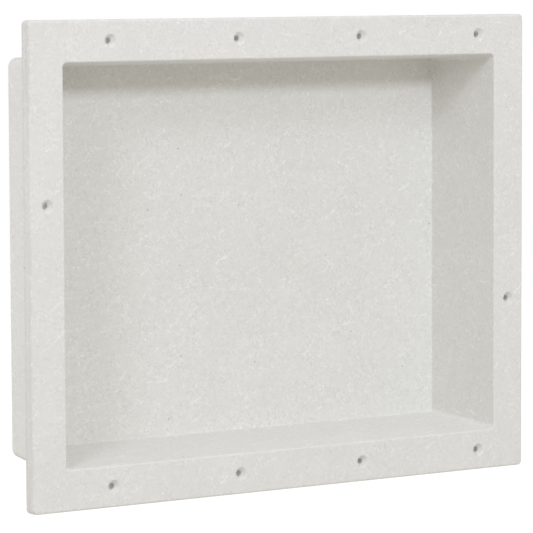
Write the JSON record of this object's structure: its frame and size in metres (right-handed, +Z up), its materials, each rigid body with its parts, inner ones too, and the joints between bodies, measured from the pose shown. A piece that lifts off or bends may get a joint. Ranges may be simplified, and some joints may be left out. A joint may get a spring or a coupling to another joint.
{
  "type": "shower niche insert",
  "caption": "One-piece moulded shower niche: a shallow drafted tray behind a flat flange with countersunk screw holes, built into a tiled wall to hold bottles.",
  "frame": {"origin": "centre of the wall plane, where the back of the flange bears on the studs", "axes": "+X to the right seen from the front, +Y into the wall, +Z up; the front of the flange faces -Y"},
  "size_m": [0.508, 0.093, 0.406],
  "materials": {
    "moulding": "matte pale grey moulding compound, finely mottled, with short light fibres and a few pits"
  },
  "bodies": {
    "root": {"niche": "moulding"}
  },
  "joints": []
}
